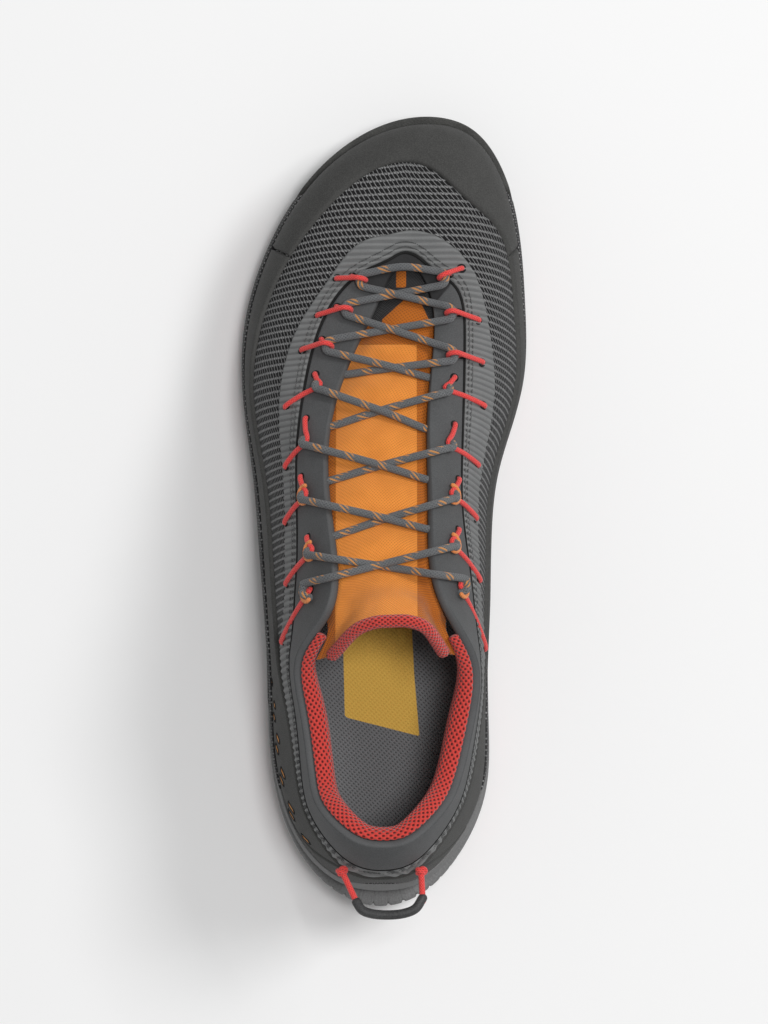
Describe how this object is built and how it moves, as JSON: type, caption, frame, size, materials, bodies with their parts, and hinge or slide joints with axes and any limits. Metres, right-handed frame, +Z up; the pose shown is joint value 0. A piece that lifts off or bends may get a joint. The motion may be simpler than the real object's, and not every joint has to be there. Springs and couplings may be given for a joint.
{
  "type": "approach shoe",
  "caption": "Left low-cut approach shoe with a lugged rubber sole, foam midsole, mesh upper with overlays, padded collar, tongue, cord lacing loops and a heel pull loop.",
  "frame": {"origin": "centre of the shoe's bounding box in plan, on the floor under its lugs", "axes": "-Y towards the toe, +Y towards the heel, +X towards the outer side of the foot, +Z up"},
  "size_m": [0.1054, 0.2906, 0.1206],
  "materials": {
    "outsole_rubber": "matte moulded rubber with blocky lugs",
    "stripe_foam": "matte red foam layer",
    "midsole_foam": "matte grey foam, knurled at the side",
    "insole_fabric": "dark knit with a yellow-orange patch",
    "upper_mesh": "grey open mesh over black",
    "rand_film": "matte bonded film",
    "counter_film": "matte moulded film",
    "band_ribbed": "fine raised ribs",
    "panel_smooth": "smooth film with stitching",
    "lining_knit": "red knit over padding",
    "tongue_fabric": "orange fabric with a darker mesh piece",
    "lace_cord": "grey braid with tan flecks",
    "loop_cord": "red braid",
    "pull_cord": "red braid",
    "pull_sleeve": "dark soft sleeve"
  },
  "bodies": {
    "root": {"outsole": "outsole_rubber", "sole_stripe": "stripe_foam", "midsole": "midsole_foam", "insole": "insole_fabric", "upper": "upper_mesh", "toe_cap": "rand_film", "rand_outer": "rand_film", "rand_inner": "rand_film", "heel_counter": "counter_film", "ribbed_band": "band_ribbed", "collar_panel": "panel_smooth", "collar_lining": "lining_knit", "tongue": "tongue_fabric", "lace": "lace_cord", "loop_outer_1": "loop_cord", "loop_outer_2": "loop_cord", "loop_outer_3": "loop_cord", "loop_outer_4": "loop_cord", "loop_outer_5": "loop_cord", "loop_outer_6": "loop_cord", "loop_outer_7": "loop_cord", "loop_outer_8": "loop_cord", "loop_inner_1": "loop_cord", "loop_inner_2": "loop_cord", "loop_inner_3": "loop_cord", "loop_inner_4": "loop_cord", "loop_inner_5": "loop_cord", "loop_inner_6": "loop_cord", "loop_inner_7": "loop_cord", "loop_inner_8": "loop_cord", "pull_knot_outer": "pull_cord", "pull_knot_inner": "pull_cord", "pull_cord_outer": "pull_cord", "pull_cord_inner": "pull_cord", "pull_sleeve": "pull_sleeve"}
  },
  "joints": []
}
